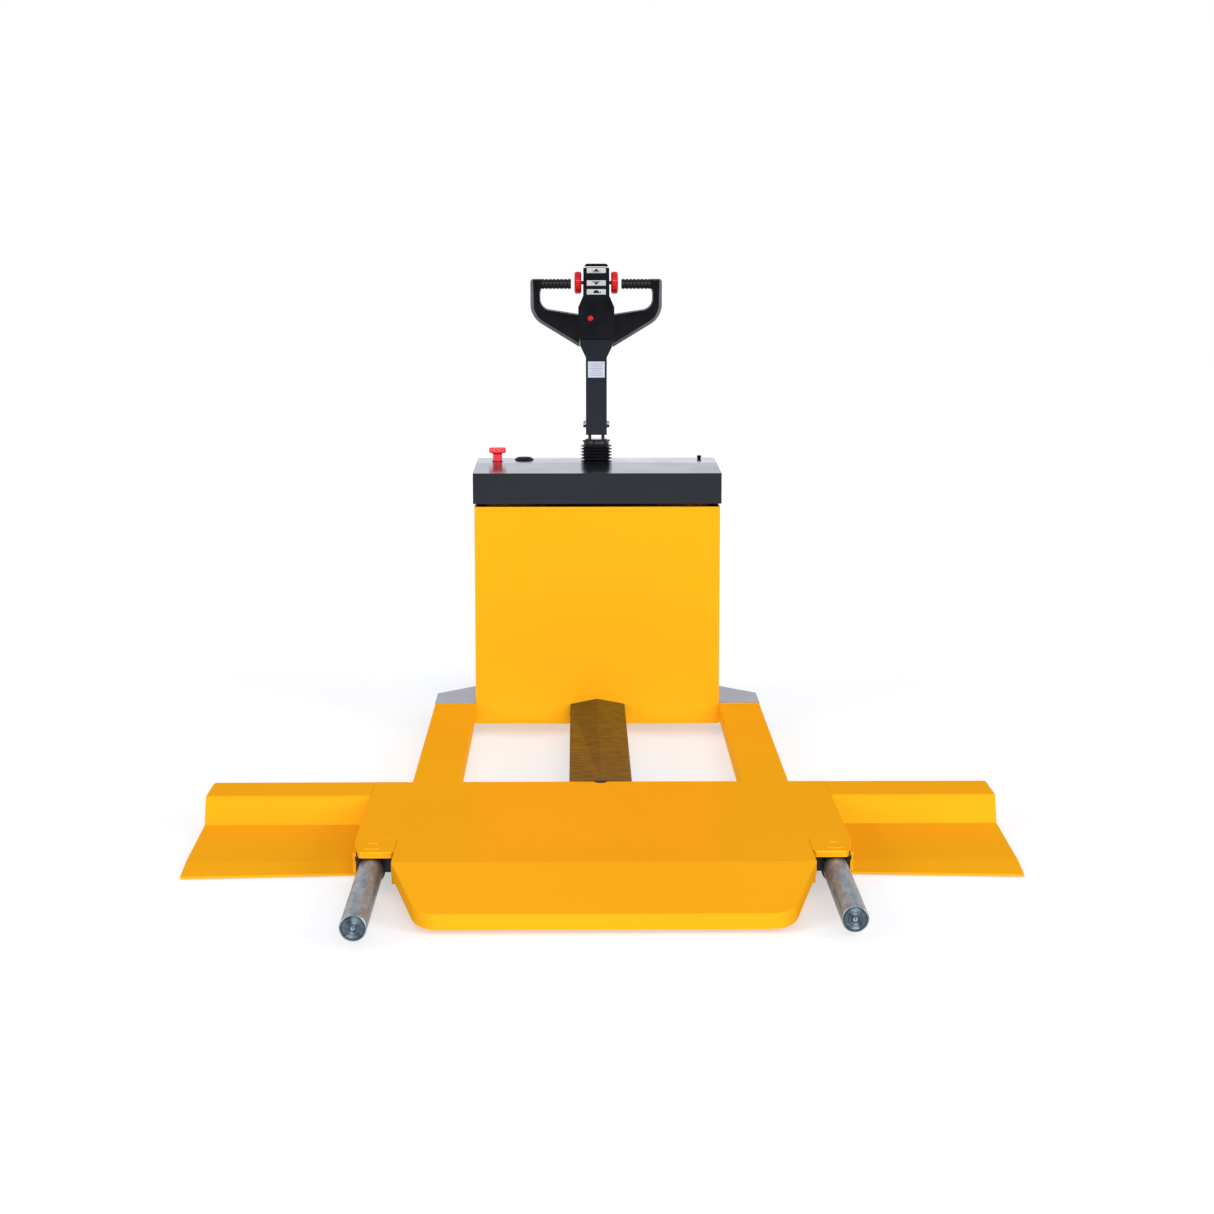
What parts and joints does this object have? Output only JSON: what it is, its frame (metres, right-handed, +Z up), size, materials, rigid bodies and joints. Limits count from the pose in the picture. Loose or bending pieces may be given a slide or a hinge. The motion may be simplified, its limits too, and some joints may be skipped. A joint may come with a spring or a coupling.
{
  "type": "electric pallet truck",
  "caption": "Low electric pallet truck: battery box and hood with tiller, two arms to a wide platform with side trays, sloped nose and forward steel pins.",
  "frame": {"origin": "on the floor under the middle of the bounding box, with the platform lowered and the tiller upright", "axes": "+X to the truck's right seen from the platform end looking at the battery box, +Y from the platform to the driver, +Z up"},
  "size_m": [1.67, 2.26, 1.174],
  "materials": {
    "yellow_paint": "gloss enamel",
    "grey_paint": "satin enamel",
    "black_paint": "semi-gloss enamel",
    "zinc_steel": "zinc plated round bar",
    "machined_steel": "machined",
    "black_plastic": "moulded, fine grain",
    "red_plastic": "moulded",
    "grey_plastic": "moulded",
    "battery_case": "moulded",
    "cast_grey": "painted casting",
    "boot_rubber": "matt",
    "grip_rubber": "matt ribbed",
    "tyre_rubber": "solid tyre",
    "roller_urethane": "polyurethane roller"
  },
  "bodies": {
    "chassis": {"base_plate": "grey_paint", "upright_left": "black_paint", "upright_right": "black_paint", "turret_plate": "black_paint", "steer_bearing": "machined_steel", "hood": "black_paint", "rear_cover": "black_paint", "wheel_fender": "black_paint", "lift_cylinder": "machined_steel", "pump_motor": "black_paint", "hydraulic_tank": "grey_plastic", "motor_controller": "cast_grey", "estop_switch": "black_plastic", "key_switch": "black_plastic", "battery_gauge": "black_plastic"},
    "fork_frame": {"battery_box": "yellow_paint", "battery_left": "battery_case", "battery_right": "battery_case", "arm_left": "yellow_paint", "arm_right": "yellow_paint", "rail_left": "yellow_paint", "rail_right": "yellow_paint", "tray_left": "yellow_paint", "tray_right": "yellow_paint", "pin_socket_left": "yellow_paint", "pin_socket_right": "yellow_paint", "deck_plate": "yellow_paint", "spine_cover": "black_paint", "lift_rod": "machined_steel"},
    "steering": {"steer_stem": "machined_steel", "wheel_yoke": "black_paint", "steering_boot": "boot_rubber", "tiller_clevis": "black_paint", "tiller_pivot_bolt": "machined_steel"},
    "drive_wheel": {"drive_hub": "cast_grey", "drive_tyre": "tyre_rubber"},
    "tiller": {"tiller_tube": "black_paint", "control_head": "black_plastic", "grip_left": "grip_rubber", "grip_right": "grip_rubber"},
    "throttle": {"throttle_butterfly": "red_plastic"},
    "raise_button": {"raise_button": "grey_plastic"},
    "lower_button": {"lower_button": "grey_plastic"},
    "creep_button": {"creep_button": "grey_plastic"},
    "horn_button": {"horn_button": "red_plastic"},
    "belly_button": {"belly_button": "black_plastic"},
    "estop_knob": {"estop_knob": "red_plastic"},
    "key_knob": {"key_knob": "black_plastic"},
    "roller_bracket_left": {"roller_bracket_left": "machined_steel"},
    "load_roller_left": {"load_roller_left": "roller_urethane"},
    "push_rod_left": {"push_rod_left": "machined_steel"},
    "caster_left": {"caster_fork_left": "machined_steel"},
    "caster_wheel_left": {"caster_wheel_left": "tyre_rubber"},
    "load_pin_left": {"load_pin_left": "zinc_steel"},
    "roller_bracket_right": {"roller_bracket_right": "machined_steel"},
    "load_roller_right": {"load_roller_right": "roller_urethane"},
    "push_rod_right": {"push_rod_right": "machined_steel"},
    "caster_right": {"caster_fork_right": "machined_steel"},
    "caster_wheel_right": {"caster_wheel_right": "tyre_rubber"},
    "load_pin_right": {"load_pin_right": "zinc_steel"}
  },
  "joints": [
    {"name": "lift", "type": "slide", "parent": "chassis", "child": "fork_frame", "axis": [0, 0, 1], "range_m": [0, 0.075]},
    {"name": "steer", "type": "hinge", "parent": "chassis", "child": "steering", "pos_m": [0, 1.003, 0.3], "axis": [0, 0, 1], "range_deg": [-90, 90]},
    {"name": "drive_spin", "type": "hinge", "parent": "steering", "child": "drive_wheel", "pos_m": [0, 1.003, 0.1], "axis": [1, 0, 0], "continuous": true},
    {"name": "tiller_tilt", "type": "hinge", "parent": "steering", "child": "tiller", "pos_m": [0, 1.003, 0.762], "axis": [-1, 0, 0], "range_deg": [0, 85], "stiffness_Nm_per_rad": 35, "springref_deg": -5.73},
    {"name": "throttle_turn", "type": "hinge", "parent": "tiller", "child": "throttle", "pos_m": [0, 1.011, 1.125], "axis": [1, 0, 0], "range_deg": [-30, 30], "stiffness_Nm_per_rad": 0.6},
    {"name": "raise_button_press", "type": "slide", "parent": "tiller", "child": "raise_button", "axis": [0, 1, 0], "range_m": [0, 0.002], "stiffness_N_per_m": 600},
    {"name": "lower_button_press", "type": "slide", "parent": "tiller", "child": "lower_button", "axis": [0, 1, 0], "range_m": [0, 0.002], "stiffness_N_per_m": 600},
    {"name": "creep_button_press", "type": "slide", "parent": "tiller", "child": "creep_button", "axis": [0, 1, 0], "range_m": [0, 0.002], "stiffness_N_per_m": 600},
    {"name": "horn_button_press", "type": "slide", "parent": "tiller", "child": "horn_button", "axis": [0, 1, 0], "range_m": [0, 0.002], "stiffness_N_per_m": 600},
    {"name": "belly_button_press", "type": "slide", "parent": "tiller", "child": "belly_button", "axis": [0, 0, -1], "range_m": [0, 0.004], "stiffness_N_per_m": 800},
    {"name": "estop_press", "type": "slide", "parent": "chassis", "child": "estop_knob", "axis": [0, 0, -1], "range_m": [0, 0.008]},
    {"name": "key_turn", "type": "hinge", "parent": "chassis", "child": "key_knob", "pos_m": [0.268, 1.03, 0.67], "axis": [0, 0, -1], "range_deg": [0, 90]},
    {"name": "roller_swing_left", "type": "hinge", "parent": "fork_frame", "child": "roller_bracket_left", "pos_m": [-0.356, -0.53, 0.038], "axis": [1, 0, 0], "range_deg": [0, 26.6]},
    {"name": "load_roller_spin_left", "type": "hinge", "parent": "roller_bracket_left", "child": "load_roller_left", "pos_m": [-0.356, -0.7, 0.03], "axis": [1, 0, 0], "continuous": true},
    {"name": "push_rod_slide_left", "type": "slide", "parent": "fork_frame", "child": "push_rod_left", "axis": [0, -1, 0], "range_m": [0, 0.0077]},
    {"name": "caster_swivel_left", "type": "hinge", "parent": "chassis", "child": "caster_left", "pos_m": [-0.362, 0.77, 0.06], "axis": [0, 0, 1], "continuous": true},
    {"name": "caster_roll_left", "type": "hinge", "parent": "caster_left", "child": "caster_wheel_left", "pos_m": [-0.362, 0.786, 0.028], "axis": [1, 0, 0], "continuous": true},
    {"name": "load_pin_slide_left", "type": "slide", "parent": "fork_frame", "child": "load_pin_left", "axis": [0, -1, 0], "range_m": [-0.3, 0]},
    {"name": "roller_swing_right", "type": "hinge", "parent": "fork_frame", "child": "roller_bracket_right", "pos_m": [0.356, -0.53, 0.038], "axis": [1, 0, 0], "range_deg": [0, 26.6]},
    {"name": "load_roller_spin_right", "type": "hinge", "parent": "roller_bracket_right", "child": "load_roller_right", "pos_m": [0.356, -0.7, 0.03], "axis": [1, 0, 0], "continuous": true},
    {"name": "push_rod_slide_right", "type": "slide", "parent": "fork_frame", "child": "push_rod_right", "axis": [0, -1, 0], "range_m": [0, 0.0077]},
    {"name": "caster_swivel_right", "type": "hinge", "parent": "chassis", "child": "caster_right", "pos_m": [0.362, 0.77, 0.06], "axis": [0, 0, 1], "continuous": true},
    {"name": "caster_roll_right", "type": "hinge", "parent": "caster_right", "child": "caster_wheel_right", "pos_m": [0.362, 0.786, 0.028], "axis": [1, 0, 0], "continuous": true},
    {"name": "load_pin_slide_right", "type": "slide", "parent": "fork_frame", "child": "load_pin_right", "axis": [0, -1, 0], "range_m": [-0.254, 0.046]}
  ],
  "couplings": [
    {"joint": "roller_swing_left", "follows": "lift", "rad_per_m": 6.17},
    {"joint": "push_rod_slide_left", "follows": "lift", "ratio": 0.1011},
    {"joint": "roller_swing_right", "follows": "lift", "rad_per_m": 6.17},
    {"joint": "push_rod_slide_right", "follows": "lift", "ratio": 0.1011}
  ]
}
